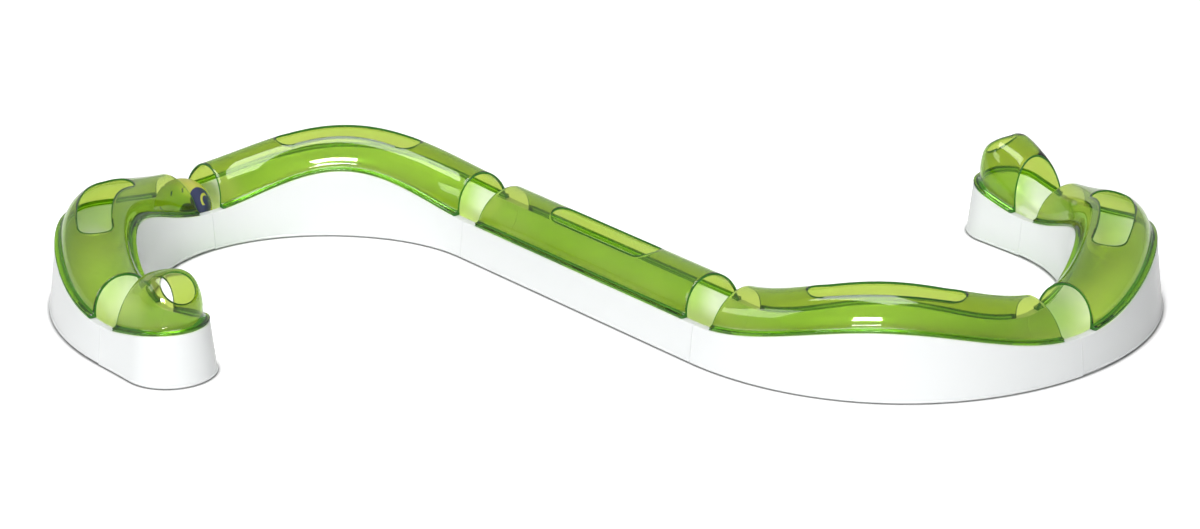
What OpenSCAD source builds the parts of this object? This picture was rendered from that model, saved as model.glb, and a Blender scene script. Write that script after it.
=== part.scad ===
// Ball track for a cat: seven white bases, seven clear lime covers and one ball.
// The route is an S that turns back on itself, the same from both ends.
// The origin is on the floor under the middle of the straight stretch, +Z up.

/* [Route] */
// Length of the straight stretch, joint to joint
straight_l = 278; // [250:1:320]
// Radius of the wave bends, on the middle of the track
wave_r = 174; // [160:1:210]
// Radius of the hill curves, on the middle of the track
curve_r = 169; // [160:1:210]
// Length of an end piece, from its joint to the centre of its round end
end_l = 43; // [40:1:60]
// Direction of the straight stretch on the floor, in degrees
lie_a = -50; // [-90:1:90]

/* [Bases] */
// Width of the track over its rims
rail_w = 63.2; // [62:0.1:66]
// Height of the rims at every joint
rim_h = 30.4; // [30:0.1:36]
// Slope of the outer walls, in degrees from upright
draft_a = 6.3; // [4:0.1:8]
// Thickness of the moulded white shell
base_t = 2; // [1.6:0.1:2.2]
// Inner radius of the trough that the ball rolls in
trough_r = 25; // [24.6:0.1:25.2]
// Straight lip between the rim and the round of the trough
trough_lip = 0.8; // [0.4:0.1:1]
// Climb of the rim over a wave bend
wave_hill = 23; // [15:1:26]
// Climb of the rim over a hill curve
curve_hill = 26; // [15:1:30]
// Climb of the rim towards the tip of an end piece
end_rise = 10.8; // [6:0.1:14]
// Gap between two bases at a joint
seam_gap = 0.3; // [0.2:0.1:0.6]

/* [Joint keys] */
// Reach of a key into the next base
key_reach = 8; // [6:1:9]
// Height of a key
key_h = 12; // [8:1:13]
// Thickness of a key
key_t = 1.8; // [1.2:0.1:2]
// Height of the lower edge of a key above the floor
key_lift = 9; // [7:1:10]
// Room around a key in the next base
key_gap = 0.6; // [0.4:0.1:0.8]

/* [Covers] */
// Outer radius of the covers
tube_r = 27.1; // [26.4:0.1:27.6]
// Wall thickness of the covers
cover_t = 1.6; // [1.2:0.1:1.8]
// Thickness of the flange that lies on the rim
flange_h = 2.2; // [1.6:0.1:3]
// Radius of the flare from the wall into the flange
flare_r = 3.4; // [2.4:0.1:3.6]
// Bevel on the edge of the flange
edge_bevel = 0.7; // [0.4:0.1:1]
// Open length between two covers
cover_gap = 26; // [20:0.1:36]
// Backward lean of the cut ends, at the crown
face_lean = 5.4; // [0:0.1:8]
// Height that a cover floats over the rim
seat_gap = 0.3; // [0.2:0.1:0.5]
// Length of the paw slots
slot_l = 118; // [80:1:150]
// Width of the paw slots
slot_w = 26; // [20:1:34]

/* [Snap tabs] */
// Length of a tab along the rim
tab_l = 13; // [8:1:15]
// Thickness of a tab
tab_t = 1.2; // [0.8:0.1:1.3]
// Depth of a tab below the rim
tab_d = 5; // [3:0.5:7]
// Room around a tab in its slot
tab_gap = 0.35; // [0.3:0.05:0.4]
// Distance from a cut end to the nearest tab
tab_in = 9; // [7:1:14]

/* [End domes] */
// Height of the mouth above the rim
mouth_h = 39; // [34:1:40]
// Height of the dome above the rim
dome_h = 44; // [41:1:52]
// Backward lean of the mouth, at its crown
mouth_lean = 7.5; // [2:0.5:9]
// Fullness of the dome at its round end: 2 is an ellipse, more is boxier
dome_fullness = 3.2; // [2:0.1:4]
// Diameter of the round paw hole, which lies in a flat facet of the dome
hole_d = 28; // [22:1:29]
// Direction in which the hole faces, in degrees above level
hole_a = 50; // [40:1:60]
// Distance from the joint to the centre of the hole
hole_s = 59.2; // [54:0.1:62]
// Height of the centre of the hole above the floor
hole_z = 71; // [66:0.5:75]

/* [Ball] */
// Diameter of the ball
ball_d = 48; // [40:0.5:48.5]
// Wall of the hollow ball
ball_t = 1.8; // [1:0.1:3]
// Gap under the ball
ball_gap = 0.5; // [0.3:0.1:0.7]
// Distance of the ball from the joint that it lies by
ball_back = 7; // [0:0.5:12]

/* [Hidden] */
$fn = 64;
// Steps of a swept piece along the route, and of a round end
bend_steps = 18;
end_steps = 3;
round_steps = 14;
// Steps of the section, over the round of the trough and of a cover
trough_steps = 8;
arch_steps = 9;
flare_steps = 2;
// Overrun of every cut
over = 1;

rail_half = rail_w / 2;
draft = tan(draft_a);
trough_drop = base_t + trough_lip;
bend_turn = 90;
wave_l = wave_r * PI * bend_turn / 180;
curve_l = curve_r * PI * bend_turn / 180;
end_tip = end_l + rail_half;

// Rims: the height above the floor at distance s from the joint
function hill_rim(l, hill) = function(s) rim_h + hill / 2 * (1 - cos(360 * s / l));
function end_rim() = function(s) rim_h + end_rise / 2 * (1 - cos(180 * min(s / end_tip, 1)));

// Plans: the place of the point at distance s, v to the left of the middle and z up
function straight_plan() = function(s, v, z) [s, v, z];
function bend_plan(r) = function(s, v, z)
    let (a = s / r * 180 / PI) [(r - v) * sin(a), r - (r - v) * cos(a), z];

// Half sections run from the middle of the upper skin, round the outer edge, to the
// middle of the lower skin. Point k of the upper skin faces point last - k below.
foot_spread = base_t / cos(draft_a);
function base_skin(r) =
    [for (i = [0:trough_steps]) let (a = 90 * i / trough_steps) [r * sin(a), -trough_drop - r * cos(a)]];
function base_half(zr) =
    let (
        upper = concat(base_skin(trough_r), [[trough_r, 0], [rail_half, 0]]),
        lower = concat(base_skin(trough_r + base_t),
            [[trough_r + base_t, -base_t], [rail_half + draft * base_t - foot_spread, -base_t]]),
        foot = rail_half + draft * zr
    )
    concat(
        [for (p = upper) [p[0], zr + p[1]]],
        [[foot, 0], [foot - foot_spread, 0]],
        [for (i = [len(lower) - 1:-1:0]) [lower[i][0], zr + lower[i][1]]]
    );

flange_top = seat_gap + flange_h;
flare_z = flange_top + flare_r;
flare_v = sqrt(pow(tube_r + flare_r, 2) - pow(flare_z, 2));
flare_a = atan2(flare_v, flare_z);
flare_top = tube_r * cos(flare_a);
inner_r = tube_r - cover_t;
// Stretches the arch above the flare so that its crown, now at height r, comes to h
function raised(z, r, h) =
    z > flare_top ? flare_top + (z - flare_top) * (h - flare_top) / (r - flare_top) : z;
// Point of an arch at angle a from its crown
function arch_point(r, a, h, fullness) =
    [r * pow(sin(a), 2 / fullness), raised(r * pow(cos(a), 2 / fullness), r, h)];
function cover_half(zr, h, fullness = 2) =
    let (
        outer = concat(
            [for (i = [0:arch_steps]) arch_point(tube_r, flare_a * i / arch_steps, h, fullness)],
            [for (i = [1:flare_steps]) let (a = flare_a * (1 - i / flare_steps))
                [flare_v - flare_r * sin(a), flare_z - flare_r * cos(a)]],
            [[rail_half - edge_bevel, flange_top], [rail_half, flange_top - edge_bevel]]
        ),
        foot_a = acos(seat_gap / inner_r),
        inner = concat(
            [for (i = [0:arch_steps])
                arch_point(inner_r, flare_a * i / arch_steps, h - cover_t, fullness)],
            [for (i = [1:flare_steps]) let (a = flare_a + (foot_a - flare_a) * i / flare_steps)
                [inner_r * sin(a), inner_r * cos(a)]],
            [[flare_v, seat_gap], [rail_half, seat_gap]]
        )
    )
    concat(
        [for (p = outer) [p[0], zr + p[1]]],
        [for (i = [len(inner) - 1:-1:0]) [inner[i][0], zr + inner[i][1]]]
    );

// Full loop of a half section: down the left side, then up the right side
function loop_of(half, s, plan, lean, zr, h) =
    let (last = len(half) - 1)
    [for (j = [0:2 * last - 1])
        let (k = j <= last ? j : 2 * last - j, side = j <= last ? 1 : -1, p = half[k])
        plan(s + lean * (p[1] - zr) / h, side * p[0], p[1])];

function two_tris(a, b, c, d) = [[a, b, c], [a, c, d]];
function turned(faces) = [for (f = faces) [f[2], f[1], f[0]]];
// Faces that close a station: quads between the two skins, on the left and on the right
function cap_faces(first, last) =
    let (left = function(k) first + k, right = function(k) first + (2 * last - k) % (2 * last))
    [for (k = [0:(last - 1) / 2 - 1])
        each concat(
            two_tris(left(k), left(k + 1), left(last - k - 1), left(last - k)),
            two_tris(right(k), right(last - k), right(last - k - 1), right(k + 1))
        )];

// Solid between stations, closed at both cut ends, or rounded off at the far end by fans
module loft(stations, fans = []) {
    loop = len(stations[0]);
    last = loop / 2;
    far = (len(stations) - 1) * loop;
    turns = len(fans) + 1;
    at = function(i, j) i * loop + j % loop;
    fan_at = function(m, k)
        k == 0 ? far : k == last ? far + last : m == 0 ? far + k : m == turns ? far + loop - k
        : far + loop + (m - 1) * (last - 1) + k - 1;
    sides = [for (i = [0:len(stations) - 2], j = [0:loop - 1])
        each two_tris(at(i, j), at(i, j + 1), at(i + 1, j + 1), at(i + 1, j))];
    round_end = len(fans) == 0 ? [] : [for (m = [0:turns - 1], k = [0:last - 1])
        each two_tris(fan_at(m, k), fan_at(m, k + 1), fan_at(m + 1, k + 1), fan_at(m + 1, k))];
    polyhedron(
        points = concat([for (s = stations) each s], [for (f = fans) each f]),
        faces = concat(
            turned(cap_faces(0, last)),
            sides,
            [for (f = round_end) if (f[0] != f[1] && f[1] != f[2] && f[2] != f[0]) f],
            len(fans) == 0 ? cap_faces(far, last) : []
        ),
        convexity = 10
    );
}

// Shell of one base, from joint to joint
module base_shell(l, steps, plan, rim) {
    loft([for (i = [0:steps])
        let (s = seam_gap / 2 + (l - seam_gap) * i / steps)
        loop_of(base_half(rim(s)), s, plan, 0, 0, rim_h)]);
}

// Shell of one cover, which stops short of the joints and leans back at its cut ends
module cover_shell(l, steps, plan, rim) {
    run = l - cover_gap;
    loft([for (i = [0:steps])
        let (
            s = cover_gap / 2 + run * i / steps,
            lean = i == 0 ? face_lean : i == steps ? -face_lean : 0
        )
        loop_of(cover_half(rim(s), tube_r), s, plan, lean, rim(s), tube_r)]);
}

// Bar that follows the rim: from s0 to s1, v0 to v1 across, and z0 to z1 above the rim
module rim_bar(plan, rim, s0, s1, v0, v1, z0, z1) {
    ring = function(s) [
        plan(s, v0, rim(s) + z0), plan(s, v1, rim(s) + z0),
        plan(s, v1, rim(s) + z1), plan(s, v0, rim(s) + z1)
    ];
    polyhedron(
        points = concat(ring(s0), ring(s1)),
        faces = concat(
            two_tris(0, 1, 2, 3),
            two_tris(7, 6, 5, 4),
            [for (j = [0:3]) each two_tris(j, 4 + j, 4 + (j + 1) % 4, (j + 1) % 4)]
        )
    );
}

// Middle of the hollow between the trough and the outer wall, where tabs and keys go
tab_v = (trough_r + base_t + rail_half + draft * base_t - foot_spread) / 2;
// Places of the tabs along a cover: near both cut ends and in the middle
function tab_places(l) = [
    cover_gap / 2 + tab_in + tab_l / 2, l / 2, l - cover_gap / 2 - tab_in - tab_l / 2
];

module tabs(places, plan, rim) {
    for (s = places, side = [-1, 1])
        rim_bar(plan, rim, s - tab_l / 2, s + tab_l / 2,
            side * tab_v - tab_t / 2, side * tab_v + tab_t / 2, -tab_d, seat_gap + flange_h / 2);
}

module tab_slots(places, plan, rim) {
    room = tab_t / 2 + tab_gap;
    for (s = places, side = [-1, 1])
        rim_bar(plan, rim, s - tab_l / 2 - tab_gap, s + tab_l / 2 + tab_gap,
            side * tab_v - room, side * tab_v + room, -base_t - trough_lip / 2, over);
}

// Two keys at a joint: each is rooted on its own outer wall and reaches into the next base
module keys() {
    key_top = key_lift + key_h;
    wall_in = rail_half + draft * (rim_h - key_top) - foot_spread;
    outer_v = wall_in - key_gap;
    for (right_side = [0, 1])
        mirror([0, right_side, 0])
            translate([0, outer_v - key_t, key_lift]) {
                translate([-key_reach, 0, 0])
                    cube([2 * key_reach, key_t, key_h]);
                translate([seam_gap, 0, 0])
                    cube([key_reach - seam_gap, key_t + key_gap + foot_spread / 2, key_h]);
            }
}

// Slot in plan with round ends: along a straight line, or along a bend of radius r
module straight_slot(l) {
    translate([l / 2 - slot_l / 2 + slot_w / 2, -slot_w / 2])
        square([slot_l - slot_w, slot_w]);
    for (x = [l / 2 - slot_l / 2 + slot_w / 2, l / 2 + slot_l / 2 - slot_w / 2])
        translate([x, 0])
            circle(d = slot_w);
}

module bend_slot(r) {
    half_a = (slot_l - slot_w) / 2 / r * 180 / PI;
    mid_a = bend_turn / 2 - 90;
    far = 2 * r;
    translate([0, r]) {
        intersection() {
            difference() {
                circle(r + slot_w / 2);
                circle(r - slot_w / 2);
            }
            polygon([[0, 0],
                far * [cos(mid_a - half_a), sin(mid_a - half_a)],
                far * [cos(mid_a + half_a), sin(mid_a + half_a)]]);
        }
        for (a = [mid_a - half_a, mid_a + half_a])
            translate(r * [cos(a), sin(a)])
                circle(d = slot_w);
    }
}

// Cuts what stands above the arch of a cover at half its height
module slot_cut(hill) {
    translate([0, 0, rim_h + tube_r / 2])
        linear_extrude(hill + tube_r)
            children();
}

module bend_base(r, l, hill, keys_far) {
    color("whitesmoke")
        union() {
            difference() {
                base_shell(l, bend_steps, bend_plan(r), hill_rim(l, hill));
                tab_slots(tab_places(l), bend_plan(r), hill_rim(l, hill));
            }
            if (keys_far)
                translate([r, r, 0])
                    rotate([0, 0, bend_turn])
                        mirror([1, 0, 0])
                            keys();
            else
                keys();
        }
}

module bend_cover(r, l, hill) {
    color("yellowgreen", 0.7)
        union() {
            difference() {
                cover_shell(l, bend_steps, bend_plan(r), hill_rim(l, hill));
                slot_cut(hill)
                    bend_slot(r);
            }
            tabs(tab_places(l), bend_plan(r), hill_rim(l, hill));
        }
}

// Facet that holds the paw hole: its height at distance s, for the outer or the inner skin
function facet_z(s, is_inner) =
    hole_z + (hole_s - s) / tan(hole_a) - (is_inner ? cover_t / sin(hole_a) : 0);

// Round tip of an end piece: half sections turned about the upright axis at its centre,
// pressed down to the facet where there is one
function tip_fans(half_at, rim, has_facet = false) =
    let (last = len(half_at(rim(end_l))) - 1)
    [for (m = [1:round_steps - 1])
        let (a = 90 - 180 * m / round_steps, edge = half_at(rim(end_l + rail_half * cos(a))))
        [for (k = [1:last - 1])
            let (
                rho = edge[k][0], s = end_l + rho * cos(a), z = half_at(rim(s))[k][1],
                is_inner = k > last / 2, roof = has_facet ? facet_z(s, is_inner) : z
            )
            [s, rho * sin(a), min(z, roof)]]];

// A tab on each side of the end piece
function end_tabs() = [cover_gap / 2 + tab_in + tab_l / 2];

module end_base(with_keys) {
    rim = end_rim();
    half_at = function(zr) base_half(zr);
    color("whitesmoke")
        union() {
            difference() {
                loft(
                    [for (i = [0:end_steps])
                        let (s = seam_gap / 2 + (end_l - seam_gap / 2) * i / end_steps)
                        loop_of(base_half(rim(s)), s, straight_plan(), 0, 0, rim_h)],
                    tip_fans(half_at, rim)
                );
                tab_slots(end_tabs(), straight_plan(), rim);
            }
            if (with_keys)
                keys();
        }
}

module end_cover() {
    rim = end_rim();
    half_at = function(zr) cover_half(zr, dome_h, dome_fullness);
    run = end_l - cover_gap / 2;
    color("yellowgreen", 0.7)
        union() {
            difference() {
                loft(
                    [for (i = [0:end_steps + 1])
                        let (
                            share = i / (end_steps + 1),
                            s = cover_gap / 2 + run * share,
                            h = mouth_h + (dome_h - mouth_h) * sqrt(1 - pow(1 - share, 2)),
                            fullness = 2 + (dome_fullness - 2) * share,
                            lean = i == 0 ? mouth_lean : 0
                        )
                        loop_of(cover_half(rim(s), h, fullness), s, straight_plan(), lean, rim(s), h)],
                    tip_fans(half_at, rim, true)
                );
                translate([hole_s, 0, hole_z])
                    rotate([0, 90 - hole_a, 0])
                        translate([0, 0, -hole_d / 4])
                            cylinder(d = hole_d, h = hole_d);
            }
            tabs(end_tabs(), straight_plan(), rim);
        }
}

// Places along the route, from the middle of the straight stretch to its right-hand end
module at_straight_end() {
    translate([straight_l / 2, 0, 0])
        children();
}

module at_wave_end() {
    at_straight_end()
        translate([wave_r, wave_r, 0])
            rotate([0, 0, bend_turn])
                children();
}

module at_curve_end() {
    at_wave_end()
        translate([curve_r, curve_r, 0])
            rotate([0, 0, bend_turn])
                children();
}

// Right half of the route as it lies, and the left half as its half turn
module right_half() {
    rotate([0, 0, lie_a])
        children();
}

module left_half() {
    rotate([0, 0, lie_a + 180])
        children();
}

module base_straight() {
    right_half()
        translate([-straight_l / 2, 0, 0])
            color("whitesmoke")
                union() {
                    difference() {
                        translate([seam_gap / 2, 0, 0])
                            rotate([90, 0, 90])
                                linear_extrude(straight_l - seam_gap)
                                    polygon(section_outline(base_half(rim_h)));
                        straight_tab_slots();
                    }
                    keys();
                }
}

// Outline of a whole section, from its half
function section_outline(half) =
    let (last = len(half) - 1)
    [for (j = [0:2 * last - 1])
        let (k = j <= last ? j : 2 * last - j, side = j <= last ? 1 : -1)
        [side * half[k][0], half[k][1]]];

module straight_tab_boxes(room, z0, z1) {
    for (s = tab_places(straight_l), side = [-1, 1])
        translate([s - tab_l / 2 - room, side * tab_v - tab_t / 2 - room, rim_h + z0])
            cube([tab_l + 2 * room, tab_t + 2 * room, z1 - z0]);
}

module straight_tab_slots() {
    straight_tab_boxes(tab_gap, -base_t - trough_lip / 2, over);
}

module cover_straight() {
    face_a = atan2(face_lean, tube_r);
    right_half()
        translate([-straight_l / 2, 0, 0])
            color("yellowgreen", 0.7)
                union() {
                    difference() {
                        translate([cover_gap / 2, 0, 0])
                            rotate([90, 0, 90])
                                linear_extrude(straight_l - cover_gap)
                                    polygon(section_outline(cover_half(rim_h, tube_r)));
                        slot_cut(0)
                            straight_slot(straight_l);
                        lean_cut(face_a);
                        translate([straight_l, 0, 0])
                            mirror([1, 0, 0])
                                lean_cut(face_a);
                    }
                    straight_tab_boxes(0, -tab_d, seat_gap + flange_h / 2);
                }
}

// Slants a cut end of the straight cover back from the foot to the crown
module lean_cut(face_a) {
    translate([cover_gap / 2, 0, rim_h])
        rotate([0, face_a, 0])
            translate([-tube_r, -rail_half - over, 0])
                cube([tube_r, rail_w + 2 * over, 2 * tube_r]);
}

module base_wave_front() {
    right_half()
        at_straight_end()
            bend_base(wave_r, wave_l, wave_hill, false);
}

module base_wave_back() {
    left_half()
        at_straight_end()
            bend_base(wave_r, wave_l, wave_hill, true);
}

module base_curve_right() {
    right_half()
        at_wave_end()
            bend_base(curve_r, curve_l, curve_hill, false);
}

module base_curve_left() {
    left_half()
        at_wave_end()
            bend_base(curve_r, curve_l, curve_hill, true);
}

module base_end_right() {
    right_half()
        at_curve_end()
            end_base(true);
}

module base_end_left() {
    left_half()
        at_curve_end()
            end_base(false);
}

module cover_wave_front() {
    right_half()
        at_straight_end()
            bend_cover(wave_r, wave_l, wave_hill);
}

module cover_wave_back() {
    left_half()
        at_straight_end()
            bend_cover(wave_r, wave_l, wave_hill);
}

module cover_curve_right() {
    right_half()
        at_wave_end()
            bend_cover(curve_r, curve_l, curve_hill);
}

module cover_curve_left() {
    left_half()
        at_wave_end()
            bend_cover(curve_r, curve_l, curve_hill);
}

module cover_end_right() {
    right_half()
        at_curve_end()
            end_cover();
}

module cover_end_left() {
    left_half()
        at_curve_end()
            end_cover();
}

// The ball lies in the open gap between the left curve and the back wave
module ball() {
    place = bend_plan(curve_r)(ball_back, 0, hill_rim(curve_l, curve_hill)(ball_back)
        - trough_drop - trough_r + ball_d / 2 + ball_gap);
    left_half()
        at_wave_end()
            translate(place)
                color("darkkhaki")
                    difference() {
                        sphere(d = ball_d);
                        sphere(d = ball_d - 2 * ball_t);
                    }
}

base_straight();
base_wave_front();
base_wave_back();
base_curve_right();
base_curve_left();
base_end_right();
base_end_left();
cover_straight();
cover_wave_front();
cover_wave_back();
cover_curve_right();
cover_curve_left();
cover_end_right();
cover_end_left();
ball();
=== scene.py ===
from math import atan2, cos, pi, radians, sin, sqrt, tan

import bmesh
import bpy
import numpy as np
from mathutils import Matrix, Vector


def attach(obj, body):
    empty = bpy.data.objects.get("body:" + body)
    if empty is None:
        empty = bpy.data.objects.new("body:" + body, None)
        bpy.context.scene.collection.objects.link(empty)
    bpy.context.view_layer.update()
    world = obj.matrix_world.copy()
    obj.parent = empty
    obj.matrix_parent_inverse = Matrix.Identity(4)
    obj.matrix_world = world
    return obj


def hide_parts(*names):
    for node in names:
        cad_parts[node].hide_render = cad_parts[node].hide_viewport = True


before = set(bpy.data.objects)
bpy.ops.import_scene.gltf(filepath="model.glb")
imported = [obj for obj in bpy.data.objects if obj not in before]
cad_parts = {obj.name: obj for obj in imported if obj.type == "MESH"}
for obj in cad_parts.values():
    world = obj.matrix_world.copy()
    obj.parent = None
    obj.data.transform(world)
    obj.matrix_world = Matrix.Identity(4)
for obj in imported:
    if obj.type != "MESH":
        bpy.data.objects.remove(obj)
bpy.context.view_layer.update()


# The camera stands where the photograph was taken: 3.3 m in front of the track and 1.36 m
# above the floor, with a long lens that looks down at 22 degrees.
CAMERA_AT = (-0.004657, -3.30005, 1.36001)
LOOKS_DOWN = 0.3836
camera = bpy.data.objects.new("camera", bpy.data.cameras.new("camera"))
camera.data.sensor_width = 36
camera.data.lens = 137.33
camera.data.clip_end = 30
camera.location = CAMERA_AT
camera.rotation_euler = (pi / 2 - LOOKS_DOWN, 0, 0)
bpy.context.scene.collection.objects.link(camera)
bpy.context.scene.camera = camera


# White bases: injection-moulded polypropylene shells, open underneath, with a round trough
# that the ball rolls in. Seven of them hook into each other. The bends carry their rims
# up and down over a hill, and the end pieces climb towards their round tips.
MM = 0.001
RAIL_HALF = 31.6
RIM_H = 30.4
DRAFT = 0.1104
WALL = 2.0
TROUGH_R = 25.0
TROUGH_LIP = 0.8
RIM_ROUND = 0.8

# The foot of an outer wall: a fine bead, and a step back to the edge that it stands on
BEAD = 0.5
BEAD_TOP = 1.9
FOOT_STEP = 0.8
FOOT_BACK = 1.2
CURVE_FOOT = 0.7

# The route: the straight lies slanted on the floor, and each half of the S follows it
STRAIGHT_L = 278.0
WAVE_R = 174.0
CURVE_R = 169.0
WAVE_HILL = 23.0
CURVE_HILL = 26.0
END_L = 43.0
END_RISE = 10.8
END_TIP = END_L + RAIL_HALF
LIE = radians(-50)
SEAM = 0.15
SEAM_ROUND = 0.3

# The open gap between two covers, their snap tabs and slots, and the keys of the bases
COVER_GAP = 26.0
TAB_L = 13.0
TAB_T = 1.2
TAB_IN = 9.0
TAB_V = 28.4
TAB_ROOM = 0.35
TAB_SLOT_HALF_L = TAB_L / 2 + TAB_ROOM
TAB_SLOT_HALF_W = TAB_T / 2 + TAB_ROOM
KEY_REACH = 8.0
KEY_LOW = 9.0
KEY_H = 12.0
KEY_T = 1.8
KEY_ROOM = 0.6

# How finely the shells are drawn: mm from row to row, and steps round each bend
STATION = 3.0
END_ROW = 1.0
ROW_CLEAR = 0.5
SAME_ROW = 0.001
TROUGH_STEPS = 26
UNDER_STEPS = 20
LIP_STEPS = 4
BROW_STEPS = 5
BASE_TIP_STEPS = 48
WALL_DROPS = (0.12, 0.3, 0.5, 0.7, 0.88)
SAME_PLACE = 0.001 * MM
SHARP = radians(32)


def turned(x, y, angle):
    """A point of the plan turned about the origin."""
    return x * cos(angle) - y * sin(angle), x * sin(angle) + y * cos(angle)


WAVE_START = (STRAIGHT_L / 2, 0.0)
CURVE_START = (STRAIGHT_L / 2 + WAVE_R, WAVE_R)
END_START = (CURVE_START[0] - CURVE_R, CURVE_START[1] + CURVE_R)


def stretch(start, heading, length, radius=0.0, rise=0.0, wave=1.0, foot=0.0, left=False):
    """Where one piece of the route lies, in mm and radians. Its rim climbs by rise in half
    of each wave length, and its outer walls end at foot over the floor."""
    x, y = turned(start[0], start[1], LIE + (pi if left else 0))
    return {
        "place": (x, y), "heading": LIE + heading + (pi if left else 0), "length": length,
        "radius": radius, "rise": rise, "wave": wave, "foot": foot,
    }


ROUTE = {"straight": stretch((-STRAIGHT_L / 2, 0.0), 0.0, STRAIGHT_L)}
for name, left in (("wave_front", False), ("wave_back", True)):
    length = WAVE_R * pi / 2
    ROUTE[name] = stretch(WAVE_START, 0.0, length, WAVE_R, WAVE_HILL, length, 0.0, left)
for name, left in (("curve_right", False), ("curve_left", True)):
    length = CURVE_R * pi / 2
    ROUTE[name] = stretch(CURVE_START, pi / 2, length, CURVE_R, CURVE_HILL, length, CURVE_FOOT, left)
for name, left in (("end_right", False), ("end_left", True)):
    ROUTE[name] = stretch(END_START, pi, END_L, 0.0, END_RISE, 2 * END_TIP, 0.0, left)


def add(tree, kind, values=None, **settings):
    """Adds a node with its settings, and with a value or a link for each input named."""
    made = tree.nodes.new(kind)
    for key, value in settings.items():
        setattr(made, key, value)
    for key, value in (values or {}).items():
        if isinstance(value, bpy.types.NodeSocket):
            tree.links.new(value, made.inputs[key])
        else:
            made.inputs[key].default_value = value
    return made


def route_tree():
    """Lays a straight piece on its stretch of the route: lifts it over the rim's hill, gives
    the walls their draft, bends it, and puts it in its place."""
    tree = bpy.data.node_groups.new("lay_on_route", "GeometryNodeTree")
    io = tree.interface
    io.new_socket("Geometry", in_out="OUTPUT", socket_type="NodeSocketGeometry")
    io.new_socket("Geometry", in_out="INPUT", socket_type="NodeSocketGeometry")
    numbers = ("Rim height", "Rise", "Wave", "Radius", "Foot", "Draft", "Heading")
    for name in numbers:
        io.new_socket(name, in_out="INPUT", socket_type="NodeSocketFloat")
    io.new_socket("Place", in_out="INPUT", socket_type="NodeSocketVector")
    io.new_socket("Plastic", in_out="INPUT", socket_type="NodeSocketMaterial")
    io.new_socket("Edge painted glow", in_out="INPUT", socket_type="NodeSocketMaterial")
    given = tree.nodes.new("NodeGroupInput").outputs

    here = add(tree, "ShaderNodeSeparateXYZ",
               {0: add(tree, "GeometryNodeInputPosition").outputs[0]}).outputs
    outward = add(tree, "GeometryNodeInputNamedAttribute", {"Name": "outward"},
                  data_type="FLOAT_VECTOR").outputs["Attribute"]
    outward = add(tree, "ShaderNodeSeparateXYZ", {0: outward}).outputs
    drop = add(tree, "GeometryNodeInputNamedAttribute", {"Name": "drop"}).outputs["Attribute"]
    known = {name: given[name] for name in numbers}
    known.update({"x": here[0], "y": here[1], "z": here[2], "drop": drop,
                  "outward x": outward[0], "outward y": outward[1]})
    for name, operation, a, b in (
        ("laps", "DIVIDE", "x", "Wave"),
        ("turn", "MULTIPLY", "laps", 2 * pi),
        ("cosine", "COSINE", "turn", 0.0),
        ("swell", "SUBTRACT", 1.0, "cosine"),
        ("half rise", "MULTIPLY", "Rise", 0.5),
        ("hill", "MULTIPLY", "swell", "half rise"),
        ("rim", "ADD", "Rim height", "hill"),
        ("wall", "SUBTRACT", "rim", "Foot"),
        ("fall", "MULTIPLY", "drop", "wall"),
        ("level", "ADD", "z", "rim"),
        ("height", "SUBTRACT", "level", "fall"),
        ("spread", "MULTIPLY", "fall", "Draft"),
        ("spread x", "MULTIPLY", "outward x", "spread"),
        ("spread y", "MULTIPLY", "outward y", "spread"),
        ("along", "ADD", "x", "spread x"),
        ("across", "ADD", "y", "spread y"),
        ("any radius", "MAXIMUM", "Radius", 1e-6),
        ("swing", "DIVIDE", "along", "any radius"),
        ("reach", "SUBTRACT", "Radius", "across"),
        ("sine of swing", "SINE", "swing", 0.0),
        ("cosine of swing", "COSINE", "swing", 0.0),
        ("bent x", "MULTIPLY", "reach", "sine of swing"),
        ("back", "MULTIPLY", "reach", "cosine of swing"),
        ("bent y", "SUBTRACT", "Radius", "back"),
    ):
        terms = {0: known.get(a, a), 1: known.get(b, b)}
        known[name] = add(tree, "ShaderNodeMath", terms, operation=operation).outputs[0]
    straight = add(tree, "ShaderNodeCombineXYZ",
                   {0: known["along"], 1: known["across"], 2: known["height"]}).outputs[0]
    bent = add(tree, "ShaderNodeCombineXYZ",
               {0: known["bent x"], 1: known["bent y"], 2: known["height"]}).outputs[0]
    is_bend = add(tree, "FunctionNodeCompare", {0: given["Radius"], 1: 0.0},
                  operation="GREATER_THAN").outputs[0]
    routed = add(tree, "GeometryNodeSwitch", {0: is_bend, 1: straight, 2: bent},
                 input_type="VECTOR").outputs[0]
    faced = add(tree, "ShaderNodeVectorRotate", {"Vector": routed, "Angle": given["Heading"]},
                rotation_type="Z_AXIS").outputs[0]
    placed = add(tree, "ShaderNodeVectorMath", {0: faced, 1: given["Place"]}, operation="ADD")
    moved = add(tree, "GeometryNodeSetPosition",
                {"Geometry": given["Geometry"], "Position": placed.outputs[0]}).outputs[0]
    real = add(tree, "GeometryNodeRealizeInstances", {"Geometry": moved}).outputs[0]
    skinned = add(tree, "GeometryNodeSetMaterial",
                  {"Geometry": real, "Material": given["Plastic"]}).outputs[0]
    # Cut edges and snap tabs take the material with painted edge shade and painted glow
    is_cut = add(tree, "GeometryNodeInputNamedAttribute", {"Name": "cut_edge"},
                 data_type="BOOLEAN").outputs["Attribute"]
    dressed = add(tree, "GeometryNodeSetMaterial",
                  {"Geometry": skinned, "Selection": is_cut,
                   "Material": given["Edge painted glow"]}).outputs[0]
    add(tree, "NodeGroupOutput", {0: dressed})
    return tree


LAY_ON_ROUTE = route_tree()


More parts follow.
